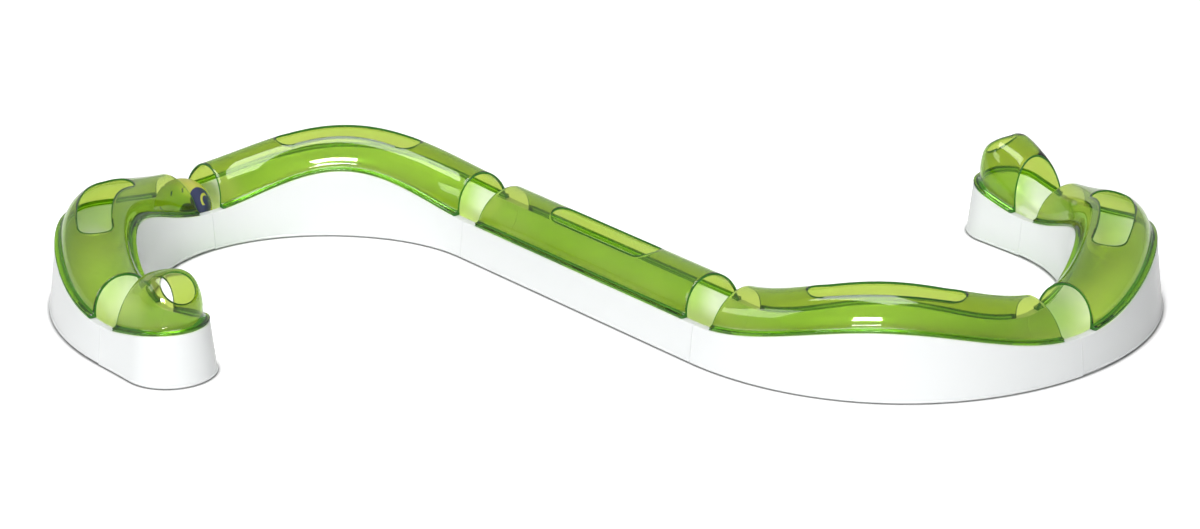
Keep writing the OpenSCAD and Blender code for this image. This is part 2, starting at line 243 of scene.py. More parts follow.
class Moulding:
    """Vertices and faces of one moulded wall, in straight coordinates of its piece: along
    the route, across it and up from the rim, in mm. drop runs from 0 at the rim to 1 at
    the foot of a wall, outward is the plan direction in which the draft spreads it, and
    cut_faces are the faces of cut edges."""

    def __init__(self):
        self.points, self.drops, self.outwards = [], [], []
        self.faces, self.cut_faces = [], []

    def add_points(self, points, drops, outwards):
        first = len(self.points)
        self.points += [tuple(p) for p in points]
        self.drops += list(drops)
        self.outwards += [tuple(o) for o in outwards]
        return np.arange(first, len(self.points))

    def sweep(self, along, facing, across, up, drop=None):
        """Grid of points: row i faces the plan angle facing[i], and column j stands
        across[j] out from the middle line. along and up have one value for each point."""
        rows, cols = along.shape
        out = np.stack([np.cos(facing), np.sin(facing), 0 * facing], 1)
        grid = np.zeros((rows, cols, 3))
        grid[..., 0] = along + out[:, None, 0] * across
        grid[..., 1] = out[:, None, 1] * across
        grid[..., 2] = up
        drop = np.zeros(cols) if drop is None else drop
        ids = self.add_points(grid.reshape(-1, 3), np.tile(drop, rows), np.repeat(out, cols, 0))
        return ids.reshape(rows, cols)

    def skin(self, ids, keep=None):
        """Quads over a grid of points, but where keep is False."""
        for i in range(ids.shape[0] - 1):
            for j in range(ids.shape[1] - 1):
                if keep is None or keep[i, j]:
                    self.faces.append((ids[i, j], ids[i, j + 1], ids[i + 1, j + 1], ids[i + 1, j]))

    def wall_between(self, a, b):
        """Quads between two rows of points."""
        for k in range(len(a) - 1):
            self.faces.append((a[k], a[k + 1], b[k + 1], b[k]))

    def block(self, outline, up):
        """A block with upright sides between two heights, over an outline of points that
        are placed along the route and across it."""
        count = len(outline)
        low, top = [self.add_points([(s, v, z) for s, v in outline], [0.0] * count,
                                    [(0, 0, 0)] * count) for z in up]
        self.faces += [tuple(low), tuple(top)]
        self.wall_between(np.append(low, low[0]), np.append(top, top[0]))

    def mesh(self, name):
        data = bpy.data.meshes.new(name)
        data.from_pydata([[c * MM for c in p] for p in self.points], [], self.faces)
        drops = data.attributes.new("drop", "FLOAT", "POINT")
        drops.data.foreach_set("value", self.drops)
        outwards = data.attributes.new("outward", "FLOAT_VECTOR", "POINT")
        outwards.data.foreach_set("vector", np.array(self.outwards, float).ravel())
        cut = data.attributes.new("cut_edge", "BOOLEAN", "FACE")
        cut.data.foreach_set("value", np.isin(np.arange(len(self.faces)), self.cut_faces))
        bm = bmesh.new()
        bm.from_mesh(data)
        loose = [v for v in bm.verts if not v.link_faces]
        bmesh.ops.delete(bm, geom=loose, context="VERTS")
        bmesh.ops.remove_doubles(bm, verts=bm.verts, dist=SAME_PLACE)
        bmesh.ops.dissolve_degenerate(bm, edges=bm.edges, dist=SAME_PLACE / 10)
        bmesh.ops.recalc_face_normals(bm, faces=bm.faces)
        bm.to_mesh(data)
        bm.free()
        return data


def soften(data, limit):
    """Smooth shading, with sharp edges where two faces meet at more than the limit."""
    bm = bmesh.new()
    bm.from_mesh(data)
    bmesh.ops.dissolve_degenerate(bm, edges=bm.edges, dist=SAME_PLACE)
    for face in bm.faces:
        face.smooth = True
    for edge in bm.edges:
        edge.smooth = not (edge.is_manifold and edge.calc_face_angle(0.0) > limit)
    bm.to_mesh(data)
    bm.free()


def laid(name, moulding, piece, plastic, edge_painted_glow=None, cutter=None):
    """The piece's own mesh, laid on its stretch of the route and cut by a cutter."""
    run = ROUTE[piece]
    obj = bpy.data.objects.new(name, moulding.mesh(name + "_blank"))
    bpy.context.scene.collection.objects.link(obj)
    lay = obj.modifiers.new("lay", "NODES")
    lay.node_group = LAY_ON_ROUTE
    values = {
        "Rim height": RIM_H * MM, "Rise": run["rise"] * MM, "Wave": run["wave"] * MM,
        "Radius": run["radius"] * MM, "Foot": run["foot"] * MM, "Draft": DRAFT,
        "Heading": run["heading"], "Place": (run["place"][0] * MM, run["place"][1] * MM, 0.0),
        "Plastic": plastic, "Edge painted glow": edge_painted_glow,
    }
    for item in LAY_ON_ROUTE.interface.items_tree:
        if item.in_out == "INPUT" and item.name in values:
            lay[item.identifier] = values[item.name]
    if cutter is not None:
        cut = obj.modifiers.new("cut", "BOOLEAN")
        cut.operation, cut.solver, cut.object = "DIFFERENCE", "EXACT", cutter
    bpy.context.view_layer.update()
    seen = obj.evaluated_get(bpy.context.evaluated_depsgraph_get())
    data = bpy.data.meshes.new_from_object(seen)
    obj.modifiers.clear()
    obj.data = data
    data.name = name
    for old in ("drop", "outward", "cut_edge"):
        if old in data.attributes:
            data.attributes.remove(data.attributes[old])
    soften(data, SHARP)
    return obj


def arc(cx, cy, r, a0, a1, steps):
    """Points of a round corner, from angle a0 to a1."""
    return [(cx + r * cos(a), cy + r * sin(a)) for a in np.linspace(a0, a1, steps + 1)]


def base_half_section():
    """Half section of a base, from the middle of the trough round the rim and the foot to
    the middle underneath: distance out, height from the rim, drop, and where the slots for
    the snap tabs begin and end on the rim and under it."""
    centre = -(WALL + TROUGH_LIP)
    slant = atan2(DRAFT, 1)
    section = [(x, z, 0.0) for x, z in arc(0, centre, TROUGH_R, -pi / 2, 0, TROUGH_STEPS)]
    section += [(x, z, 0.0) for x, z in
                arc(TROUGH_R + RIM_ROUND, -RIM_ROUND, RIM_ROUND, pi, pi / 2, LIP_STEPS)]
    slot_top = [len(section), len(section) + 1]
    section += [(TAB_V - TAB_SLOT_HALF_W, 0.0, 0.0), (TAB_V + TAB_SLOT_HALF_W, 0.0, 0.0)]
    section += [(x, z, 0.0) for x, z in
                arc(RAIL_HALF - RIM_ROUND, -RIM_ROUND, RIM_ROUND, pi / 2, slant, BROW_STEPS)]
    top_v, top_z = section[-1][:2]
    foot_v = top_v + DRAFT * top_z
    for drop in WALL_DROPS:
        section.append((top_v, top_z * (1 - drop), drop))
    section += [
        (foot_v - DRAFT * (BEAD_TOP + BEAD), BEAD_TOP + BEAD, 1.0),
        (foot_v + BEAD / 3, BEAD_TOP, 1.0),
        (foot_v + BEAD, BEAD_TOP - BEAD / 2, 1.0),
        (foot_v + BEAD, FOOT_STEP + BEAD / 2, 1.0),
        (foot_v + BEAD / 2, FOOT_STEP, 1.0),
        (foot_v - FOOT_BACK, FOOT_STEP, 1.0),
        (foot_v - FOOT_BACK, 0.0, 1.0),
    ]
    inner_v = RAIL_HALF - WALL
    section.append((inner_v, 0.0, 1.0))
    section.append((inner_v, 0.0, 0.5))
    section.append((inner_v, -WALL, 0.0))
    slot_low = [len(section) + 1, len(section)]
    section += [(TAB_V + TAB_SLOT_HALF_W, -WALL, 0.0), (TAB_V - TAB_SLOT_HALF_W, -WALL, 0.0)]
    section += [(x, z, 0.0) for x, z in arc(0, centre, TROUGH_R + WALL, 0, -pi / 2, UNDER_STEPS)]
    return np.array(section), slot_top, slot_low


def tab_middles(length, both_ends=True):
    """Places of the snap tabs along a piece."""
    near = COVER_GAP / 2 + TAB_IN + TAB_L / 2
    return [near, length / 2, length - near] if both_ends else [near]


def inset(section, by):
    """A section drawn in on itself, for the rounding of a piece's end."""
    pts = section[:, :2]
    ahead = np.roll(pts, -1, 0) - pts
    ahead /= np.maximum(np.linalg.norm(ahead, axis=1), 1e-9)[:, None]
    behind = np.roll(ahead, 1, 0)
    way = ahead + behind
    way /= np.maximum(np.linalg.norm(way, axis=1), 1e-9)[:, None]
    way[0], way[-1] = (1, 0), (-1, 0)
    out = section.copy()
    out[:, 0] += by * way[:, 1]
    out[:, 1] -= by * way[:, 0]
    out[0, 0] = out[-1, 0] = 0
    return out


def add_base(moulding, rows_s, facing, tabs):
    """Sweeps the half section of a base along its rows. The first and last rows are ends."""
    section, slot_top, slot_low = base_half_section()
    rows = len(rows_s)
    small = inset(section, SEAM_ROUND / 2)
    grid = []
    for i in range(rows):
        now = small if i in (0, rows - 1) else section
        s = np.full((1, len(now)), rows_s[i])
        grid.append(moulding.sweep(s, facing[i:i + 1], now[:, 0], now[:, 1][None], now[:, 2])[0])
    ids = np.array(grid)
    keep = np.ones((rows - 1, len(section) - 1), bool)
    side = np.round(np.sin(facing), 3)
    for middle in tabs:
        for sign in (-1, 1):
            by_slot = abs(rows_s - middle) < TAB_SLOT_HALF_L + SAME_ROW
            span = np.flatnonzero(by_slot & (side == sign))
            if len(span) < 2:
                continue
            i0, i1 = span[0], span[-1]
            keep[i0:i1, slot_top[0]] = False
            keep[i0:i1, slot_low[1]] = False
            for top, low in zip(slot_top, slot_low):
                moulding.wall_between(ids[i0:i1 + 1, top], ids[i0:i1 + 1, low])
            for i in (i0, i1):
                moulding.faces.append((ids[i, slot_top[0]], ids[i, slot_top[1]],
                                       ids[i, slot_low[1]], ids[i, slot_low[0]]))
    moulding.skin(ids, keep)
    for i in (0, rows - 1):
        moulding.faces.append(tuple(ids[i]))


def base_rows(start, stop, tabs):
    """Stations along a base, close at its ends and at the ends of the tab slots."""
    rows = [start, start + SEAM_ROUND, stop - SEAM_ROUND, stop]
    rows += list(np.linspace(start + END_ROW, stop - END_ROW, int((stop - start) / STATION)))
    edges = [m + d for m in tabs for d in (-TAB_SLOT_HALF_L, TAB_SLOT_HALF_L)]
    rows = [r for r in rows if all(abs(r - e) > ROW_CLEAR for e in edges)] + edges
    return np.array(sorted(set(round(r, 4) for r in rows)))


def add_keys(moulding, joint, way):
    """Two flat keys that hook a base into the next one. Each is an L, whose short leg roots
    it on an outer wall."""
    outer = RAIL_HALF + DRAFT * (RIM_H - KEY_LOW - KEY_H) - WALL - KEY_ROOM
    root = outer + KEY_ROOM + WALL / 2
    ell = ((-KEY_REACH, outer - KEY_T), (KEY_REACH, outer - KEY_T), (KEY_REACH, root),
           (2 * SEAM, root), (2 * SEAM, outer), (-KEY_REACH, outer))
    for side in (-1, 1):
        moulding.block([(joint + way * s, side * v) for s, v in ell],
                       (KEY_LOW - RIM_H, KEY_LOW + KEY_H - RIM_H))


def srgb(code):
    """Linear colour of an sRGB hex value."""
    parts = [int(code[i:i + 2], 16) / 255 for i in (0, 2, 4)]
    linear = [c / 12.92 if c <= 0.04045 else ((c + 0.055) / 1.055) ** 2.4 for c in parts]
    return (*linear, 1.0)


def white_polypropylene():
    """Moulded white polypropylene: a bright, slightly warm white with a wet-looking gloss,
    and the faint orange-peel waviness of a moulded wall, about 6 mm across."""
    mat = bpy.data.materials.new("white_polypropylene")
    mat.use_nodes = True
    tree = mat.node_tree
    body = tree.nodes["Principled BSDF"]
    where = add(tree, "ShaderNodeTexCoord").outputs["Object"]
    peel = add(tree, "ShaderNodeTexNoise", {"Vector": where, "Scale": 160.0, "Detail": 1.0})
    cloud = add(tree, "ShaderNodeTexNoise", {"Vector": where, "Scale": 14.0, "Detail": 2.0})
    tone = add(tree, "ShaderNodeMix", data_type="RGBA", values={
        "Factor": cloud.outputs[0], "A": srgb("E6E9E9"), "B": srgb("EAECEC")})
    gloss = add(tree, "ShaderNodeMapRange", {
        "Value": cloud.outputs[0], "To Min": 0.16, "To Max": 0.24})
    bump = add(tree, "ShaderNodeBump", {
        "Height": peel.outputs[0], "Strength": 0.04, "Distance": 0.0002})
    tree.links.new(tone.outputs["Result"], body.inputs["Base Color"])
    tree.links.new(gloss.outputs[0], body.inputs["Roughness"])
    tree.links.new(bump.outputs[0], body.inputs["Normal"])
    body.inputs["IOR"].default_value = 1.49
    return mat


WHITE = white_polypropylene()
KEYED_AT_START = ("straight", "wave_front", "curve_right", "end_right")
KEYED_AT_END = ("wave_back", "curve_left")
for piece in ROUTE:
    run = ROUTE[piece]
    shell = Moulding()
    if piece.startswith("end"):
        tabs = tab_middles(END_L, both_ends=False)
        side = base_rows(SEAM, END_L + END_ROW, tabs)
        side = side[side < END_L - ROW_CLEAR]
        tip = np.linspace(pi / 2, -pi / 2, BASE_TIP_STEPS + 1)
        rows_s = np.concatenate([side, np.full(len(tip), END_L), side[::-1]])
        facing = np.concatenate([np.full(len(side), pi / 2), tip, np.full(len(side), -pi / 2)])
        add_base(shell, rows_s, facing, tabs)
    else:
        tabs = tab_middles(run["length"])
        rows_s = base_rows(SEAM, run["length"] - SEAM, tabs)
        for angle in (pi / 2, -pi / 2):
            add_base(shell, rows_s, np.full(len(rows_s), angle), tabs)
    if piece in KEYED_AT_START:
        add_keys(shell, 0.0, 1)
    elif piece in KEYED_AT_END:
        add_keys(shell, run["length"], -1)
    base = laid("base_" + piece + "_shell", shell, piece, WHITE)
    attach(base, "track")
    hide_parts("base_" + piece)


# Lime covers: clear tinted polystyrene, moulded as half tubes with a flange that snaps onto
# the rims by small tabs. A long paw slot runs along each crown, and the cut ends lean back.
# The tint is in the plastic, so it deepens where the eye looks along the wall.
TUBE_R = 27.1
COVER_T = 1.6
SEAT = 0.3
FLANGE_TOP = 2.5
FLARE_R = 3.4
FLANGE_ROUND = 0.7
FLANGE_BEVEL = 0.3
FLANGE_LOW = 0.35
CORNER_R = 2.4
FACE_LEAN = 5.4
SLOT_HALF_L = 46.0
SLOT_R = 13.0
EDGE_ROUND = 0.35
EDGE_FULLNESS = 4
INNER_R = TUBE_R - COVER_T
FLARE_Z = FLANGE_TOP + FLARE_R
FLARE_V = sqrt((TUBE_R + FLARE_R) ** 2 - FLARE_Z ** 2)
FLARE_A = atan2(FLARE_V, FLARE_Z)
SLOT_SKIN = SLOT_R + EDGE_ROUND

# How finely the skins are drawn. The inner skin's arch takes the first share of its angle
CROWN_COLS = 9
ARCH_STEPS = 12
ARCH_SHARE = 0.8
FLARE_STEPS = 5
FLANGE_STEPS = 3
EDGE_STEPS = 5


def cover_half_sections():
    """Half sections of a cover's outer and inner skins, column by column from the crown to
    the outer edge of the flange, as distance out and height over the rim."""
    crown = [SLOT_SKIN * sin(pi / 2 * k / (CROWN_COLS - 1)) for k in range(CROWN_COLS)]
    outer = [(v, sqrt(TUBE_R ** 2 - v ** 2)) for v in crown]
    inner = [(v, sqrt(INNER_R ** 2 - v ** 2)) for v in crown]
    a0, b0 = atan2(*outer[-1]), atan2(*inner[-1])
    foot_a = atan2(sqrt(INNER_R ** 2 - SEAT ** 2), SEAT)
    bend_a = b0 + (foot_a - b0) * ARCH_SHARE
    for k in range(1, ARCH_STEPS + 1):
        a = a0 + (FLARE_A - a0) * k / ARCH_STEPS
        b = b0 + (bend_a - b0) * k / ARCH_STEPS
        outer.append((TUBE_R * sin(a), TUBE_R * cos(a)))
        inner.append((INNER_R * sin(b), INNER_R * cos(b)))
    for k in range(1, FLARE_STEPS + 1):
        a = FLARE_A * (1 - k / FLARE_STEPS)
        b = bend_a + (foot_a - bend_a) * k / FLARE_STEPS
        outer.append((FLARE_V - FLARE_R * sin(a), FLARE_Z - FLARE_R * cos(a)))
        inner.append((INNER_R * sin(b), INNER_R * cos(b)))
    edge = arc(RAIL_HALF - FLANGE_ROUND, FLANGE_TOP - FLANGE_ROUND, FLANGE_ROUND,
               pi / 2, 0, FLANGE_STEPS)
    outer += edge + [(RAIL_HALF, SEAT + FLANGE_LOW), (RAIL_HALF - FLANGE_BEVEL, SEAT)]
    under = np.linspace(INNER_R, RAIL_HALF - FLANGE_BEVEL, len(edge) + 3)[1:]
    inner += [(v, SEAT) for v in under]
    return np.array(outer), np.array(inner)


OUTER, INNER = cover_half_sections()


def corner_cut(v):
    """How far the round corner of a flange stands back from the cut end."""
    over = np.clip(abs(v) - (RAIL_HALF - CORNER_R), 0, CORNER_R)
    return CORNER_R - np.sqrt(CORNER_R ** 2 - over ** 2)


def round_edge(moulding, outer_ids, inner_ids, outer_edge, inner_edge):
    """Rounded cut edge between two skins. They stop short of it, and outer_edge and
    inner_edge are where they would reach."""
    first = len(moulding.faces)
    pts = np.array(moulding.points)
    a, b = pts[outer_ids], pts[inner_ids]
    last = outer_ids
    outwards = [moulding.outwards[i] for i in outer_ids]
    for k in range(1, EDGE_STEPS):
        w = (1 - cos(pi * k / EDGE_STEPS)) / 2
        push = (1 - abs(2 * w - 1) ** EDGE_FULLNESS) ** (1 / EDGE_FULLNESS)
        flat = a + w * (b - a)
        full = outer_edge + w * (inner_edge - outer_edge)
        now = moulding.add_points(flat + push * (full - flat), [0.0] * len(a), outwards)
        moulding.wall_between(last, now)
        last = now
    moulding.wall_between(last, inner_ids)
    moulding.cut_faces += range(first, len(moulding.faces))


def tube_cover(moulding, length):
    """A half tube with a paw slot, for the straight and the bends."""
    middle = length / 2
    steps_end = int((middle - SLOT_HALF_L - COVER_GAP / 2) / STATION)
    steps_mid = int(2 * SLOT_HALF_L / STATION)
    first, second = steps_end, steps_end + steps_mid
    rows = second + steps_end + 1

    def run_of(section, short):
        """Place along the route of each point, with the cut edges set back by short."""
        v, z = section[:, 0], np.maximum(section[:, 1], 0)
        face = COVER_GAP / 2 + FACE_LEAN * z / TUBE_R + corner_cut(v) + short
        dip = np.zeros(len(v))
        dip[:CROWN_COLS] = np.sqrt(np.maximum(SLOT_SKIN ** 2 - v[:CROWN_COLS] ** 2, 0))
        begin = middle - SLOT_HALF_L - dip
        s = np.zeros((rows, len(v)))
        for i in range(first + 1):
            s[i] = face + (begin - face) * i / first
            s[rows - 1 - i] = length - s[i]
        for i in range(first + 1, second):
            s[i] = middle - SLOT_HALF_L + 2 * SLOT_HALF_L * (i - first) / steps_mid
        return s

    keep = np.ones((rows - 1, len(OUTER) - 1), bool)
    keep[first:second, :CROWN_COLS - 1] = False
    edge_v = np.array([SLOT_R * sin(pi / 2 * k / (CROWN_COLS - 1)) for k in range(CROWN_COLS)])
    for angle in (pi / 2, -pi / 2):
        facing = np.full(rows, angle)
        side = sin(angle)
        skins, ends = [], []
        for section in (OUTER, INNER):
            s = run_of(section, EDGE_ROUND)
            heights = np.tile(section[:, 1], (rows, 1))
            skins.append(moulding.sweep(s, facing, section[:, 0], heights))
            moulding.skin(skins[-1], keep)
            at_edge = run_of(section, 0.0)
            across, up = side * section[:, 0], section[:, 1]
            ends.append([np.stack([at_edge[i], across, up], 1) for i in (0, rows - 1)])
        for which, i in ((0, 0), (1, rows - 1)):
            round_edge(moulding, skins[0][i], skins[1][i], ends[0][which], ends[1][which])
        rim_ids, rim_edges = [], []
        for ids, radius in zip(skins, (TUBE_R, INNER_R)):
            c = CROWN_COLS - 1
            loop = [*ids[first, :c], *ids[first:second + 1, c], *ids[second, :c][::-1]]
            lift = np.sqrt(radius ** 2 - edge_v ** 2)
            dip = np.sqrt(np.maximum(SLOT_R ** 2 - edge_v ** 2, 0))
            left = np.stack([middle - SLOT_HALF_L - dip, side * edge_v, lift], 1)
            right = left.copy()
            right[:, 0] = length - left[:, 0]
            mid_s = middle - SLOT_HALF_L + 2 * SLOT_HALF_L * np.arange(1, steps_mid) / steps_mid
            mid = np.stack([mid_s, 0 * mid_s + side * SLOT_R, 0 * mid_s + lift[-1]], 1)
            rim_ids.append(np.array(loop))
            rim_edges.append(np.concatenate([left, mid, right[::-1]]))
        round_edge(moulding, rim_ids[0], rim_ids[1], rim_edges[0], rim_edges[1])


MOUTH_LEAN = 7.5
MOUTH_H = 39.0
DOME_H = 44.0
DOME_FULLNESS = 2.8
HOLE_R = 14.0
HOLE_UP = radians(50)
HOLE_S = 59.2
HOLE_Z = 73.5
FACET_BLEND = 9.0
FACET_LIFT = 2.0
MOUTH_STEPS = 14
DOME_TIP_STEPS = 72


def end_rim(s):
    """Height of an end piece's rim over the floor, at distance s from the joint."""
    return RIM_H + END_RISE / 2 * (1 - np.cos(pi * s / END_TIP))


def arched(z, radius, top):
    """Stretches the arch above the flange, so that a crown at radius comes to top."""
    lift = FLANGE_TOP + (z - FLANGE_TOP) * (top - FLANGE_TOP) / (radius - FLANGE_TOP)
    return np.where(z > FLANGE_TOP, lift, z)


def filled_out(section, radius, fullness):
    """Section of an arch drawn out from a circle towards a box with round shoulders. The
    change fades in over the first millimetres above the flange."""
    v, z = section[:, 0], section[:, 1]
    on_arch = np.clip((z - FLARE_Z) / FLARE_R, 0, 1)
    boxed = ((abs(v) / radius) ** fullness + (abs(z) / radius) ** fullness) ** (-1 / fullness)
    draw = 1 + (boxed - 1) * on_arch
    return v * draw, z * draw


def under_facet(s, z, rim, thick):
    """Presses the dome down to the flat facet that holds the paw hole. The two run into
    each other over the blend, so that the facet's edge is soft."""
    facet = HOLE_Z + FACET_LIFT + (HOLE_S - s) / tan(HOLE_UP) - thick / sin(HOLE_UP) - rim
    blend = np.clip(1 - abs(z - facet) / FACET_BLEND, 0, 1)
    pressed = np.minimum(z, facet) - blend ** 2 * FACET_BLEND / 4
    return np.where(z > FLARE_Z, pressed, z)


def dome_cover(moulding):
    """The dome on an end piece: an open mouth, and a round end turned about its centre."""
    steps, tip = MOUTH_STEPS, np.linspace(pi / 2, -pi / 2, DOME_TIP_STEPS + 1)
    facing = np.concatenate([np.full(steps + 1, pi / 2), tip, np.full(steps + 1, -pi / 2)])
    skins, ends = [], []
    for section, radius, thick in ((OUTER, TUBE_R, 0.0), (INNER, INNER_R, COVER_T)):
        for short in (EDGE_ROUND, 0.0):
            across, along, up = [], [], []
            for i in range(steps + 1):
                share = 1 - cos(pi / 2 * i / steps)
                v, z = filled_out(section, radius, 2 + (DOME_FULLNESS - 2) * share)
                top = MOUTH_H + (DOME_H - MOUTH_H) * sqrt(1 - (1 - share) ** 2)
                z = arched(z, radius, top - thick)
                lean = MOUTH_LEAN * np.maximum(z, 0) / MOUTH_H
                face = COVER_GAP / 2 + lean + corner_cut(v) + short
                s = face + (END_L - face) * share
                across.append(v)
                along.append(s)
                up.append(under_facet(s, z, end_rim(s), thick))
            for angle in tip:
                s = END_L + v * cos(angle)
                across.append(v)
                along.append(np.full(len(s), END_L))
                up.append(under_facet(s, z, end_rim(s), thick))
            for rows in (across, along, up):
                rows += rows[:steps + 1][::-1]
            across, along, up = np.array(across), np.array(along), np.array(up)
            if short > 0:
                skins.append(moulding.sweep(along, facing, across, up))
                moulding.skin(skins[-1])
            else:
                sides = np.sin(facing)[:, None] * across
                ends.append([np.stack([along[i], sides[i], up[i]], 1) for i in (0, -1)])
    for which, i in ((0, 0), (1, -1)):
        round_edge(moulding, skins[0][i], skins[1][i], ends[0][which], ends[1][which])


TAB_D = 5.0
TAB_HOOK = 2.2
TAB_THIN = 0.72
TAB_CLEAR = 0.02


def snap_tabs(moulding, middles):
    """Snap tabs under the flange: thin plates with a thicker hook at both ends."""
    half, inner = TAB_L / 2, TAB_L / 2 - TAB_HOOK
    hook, thin = TAB_T / 2, TAB_THIN / 2
    edge = ((-half, hook), (-inner, hook), (-inner, thin),
            (inner, thin), (inner, hook), (half, hook))
    outline = [*edge, *[(s, -v) for s, v in edge[::-1]]]
    first = len(moulding.faces)
    for middle in middles:
        for side in (-1, 1):
            moulding.block([(middle + s, side * TAB_V + v) for s, v in outline],
                           (-TAB_D, SEAT - TAB_CLEAR))
    moulding.cut_faces += range(first, len(moulding.faces))


# What the dye takes out of red, green and blue light, per metre of plastic
DYE_TAKEN = (235.0, 85.0, 700.0)
DYE_DENSITY = 700.0


def clear_lime_polystyrene():
    """Clear lime polystyrene: it passes yellow-green and takes blue first, then red, so one
    wall looks lime and two look grass green. The skin is polished, with long soft waves
    from the mould."""
    mat = bpy.data.materials.new("clear_lime_polystyrene")
    mat.use_nodes = True
    tree = mat.node_tree
    body = tree.nodes["Principled BSDF"]
    where = add(tree, "ShaderNodeTexCoord").outputs["Object"]
    waves = add(tree, "ShaderNodeTexNoise", {"Vector": where, "Scale": 30.0, "Detail": 1.0})
    bump = add(tree, "ShaderNodeBump", {
        "Height": waves.outputs[0], "Strength": 0.01, "Distance": 0.0005})
    tree.links.new(bump.outputs[0], body.inputs["Normal"])
    body.inputs["Base Color"].default_value = srgb("DAD4A0")
    body.inputs["Roughness"].default_value = 0.04
    body.inputs["IOR"].default_value = 1.5
    body.inputs["Transmission Weight"].default_value = 1.0
    passed = add(tree, "ShaderNodeBsdfTransparent", {"Color": srgb("CFE5C4")})
    lamps = add(tree, "ShaderNodeLightPath").outputs["Is Shadow Ray"]
    both = add(tree, "ShaderNodeMixShader", {0: lamps, 1: body.outputs[0], 2: passed.outputs[0]})
    tint = tuple(1 - taken / DYE_DENSITY for taken in DYE_TAKEN) + (1.0,)
    dye = add(tree, "ShaderNodeVolumeAbsorption", {"Color": tint, "Density": DYE_DENSITY})
    out = tree.nodes["Material Output"]
    tree.links.new(both.outputs[0], out.inputs["Surface"])
    tree.links.new(dye.outputs[0], out.inputs["Volume"])
    return mat


def lime_edge_painted_shade_glow():
    """The cut edges and snap tabs of the same plastic, with painted shade and a painted glow:
    a dark green colour and a faint emission stand in for the light that has run along inside
    the wall, which the dye has turned bottle green, so each is a dark green line, from outside
    and through the wall alike."""
    mat = bpy.data.materials.new("lime_edge_painted_shade_glow")
    mat.use_nodes = True
    tree = mat.node_tree
    body = tree.nodes["Principled BSDF"]
    where = add(tree, "ShaderNodeTexCoord").outputs["Object"]
    cloud = add(tree, "ShaderNodeTexNoise", {"Vector": where, "Scale": 90.0, "Detail": 2.0})
    # Painted shade and painted glow: this dark green is both the edge's colour and its emission, in
    # place of light carried inside the wall
    tone = add(tree, "ShaderNodeMix", data_type="RGBA", values={
        "Factor": cloud.outputs[0], "A": srgb("1B561C"), "B": srgb("276322")}).outputs["Result"]
    tree.links.new(tone, body.inputs["Base Color"])
    tree.links.new(tone, body.inputs["Emission Color"])
    body.inputs["Emission Strength"].default_value = 0.2
    body.inputs["Roughness"].default_value = 0.3
    body.inputs["IOR"].default_value = 1.5
    through = add(tree, "ShaderNodeBsdfTranslucent", {"Color": srgb("62A252")}).outputs[0]
    both = add(tree, "ShaderNodeMixShader", {0: 0.5, 1: body.outputs[0], 2: through}).outputs[0]
    tree.links.new(both, tree.nodes["Material Output"].inputs["Surface"])
    return mat


LIME = clear_lime_polystyrene()
LIME_EDGE_PAINTED_GLOW = lime_edge_painted_shade_glow()


def hole_cutter(run):
    """A round cutter that stands in the dome's far side, facing up along the route. Its
    faces take the second material of what it cuts, the cut edge's."""
    bm = bmesh.new()
    bmesh.ops.create_cone(bm, cap_ends=True, segments=96, depth=2 * HOLE_R * MM,
                          radius1=HOLE_R * MM, radius2=HOLE_R * MM)
    for face in bm.faces:
        face.material_index = 1
    data = bpy.data.meshes.new("cutter")
    bm.to_mesh(data)
    bm.free()
    place = Matrix.Translation((run["place"][0] * MM, run["place"][1] * MM, 0))
    aim = Matrix.Rotation(pi / 2 - HOLE_UP, 4, "Y") @ Matrix.Translation((0, 0, HOLE_R / 2 * MM))
    at = Matrix.Translation((HOLE_S * MM, 0, HOLE_Z * MM))
    data.transform(place @ Matrix.Rotation(run["heading"], 4, "Z") @ at @ aim)
    obj = bpy.data.objects.new("cutter", data)
    bpy.context.scene.collection.objects.link(obj)
    return obj


for piece in ROUTE:
    run = ROUTE[piece]
    wall = Moulding()
    cutter = None
    if piece.startswith("end"):
        dome_cover(wall)
        snap_tabs(wall, tab_middles(END_L, both_ends=False))
        cutter = hole_cutter(run)
    else:
        tube_cover(wall, run["length"])
        snap_tabs(wall, tab_middles(run["length"]))
    cover = laid("cover_" + piece + "_wall", wall, piece, LIME, LIME_EDGE_PAINTED_GLOW, cutter)
    if cutter is not None:
        bpy.data.objects.remove(cutter)
    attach(cover, "cover_" + piece)
    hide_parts("cover_" + piece)


# The ball: two thin half shells of translucent olive plastic, welded round the middle, with
# a plain printed pattern of spots and dashes. It lies in the open gap on the left.
BALL_R = 24.0
BALL_WALL = 1.8
BALL_AT = (-339.752, 123.318, 27.278)
BALL_SHARP = radians(60)
GROOVE_HALF_W = 0.6
GROOVE_D = 0.25
GROOVE_TURN = radians(64)
GROOVE_AXIS = (0.8, 0.5, 0.3)


def ball_mesh():
    """Outer and inner skins of the ball, with a fine groove where the halves meet."""
    bm = bmesh.new()
    tilt = Matrix.Rotation(GROOVE_TURN, 4, Vector(GROOVE_AXIS).normalized())
    for radius, groove in ((BALL_R, GROOVE_D), (BALL_R - BALL_WALL, 0.0)):
        made = bmesh.ops.create_uvsphere(bm, u_segments=96, v_segments=64, radius=radius * MM)
        for v in made["verts"]:
            near = max(0.0, 1 - abs(v.co.z) / MM / GROOVE_HALF_W)
            v.co *= 1 - groove / BALL_R * near
            v.co = tilt @ v.co + Vector(BALL_AT) * MM
    data = bpy.data.meshes.new("ball_shell")
    bmesh.ops.recalc_face_normals(bm, faces=bm.faces)
    bm.to_mesh(data)
    bm.free()
    soften(data, BALL_SHARP)
    return data


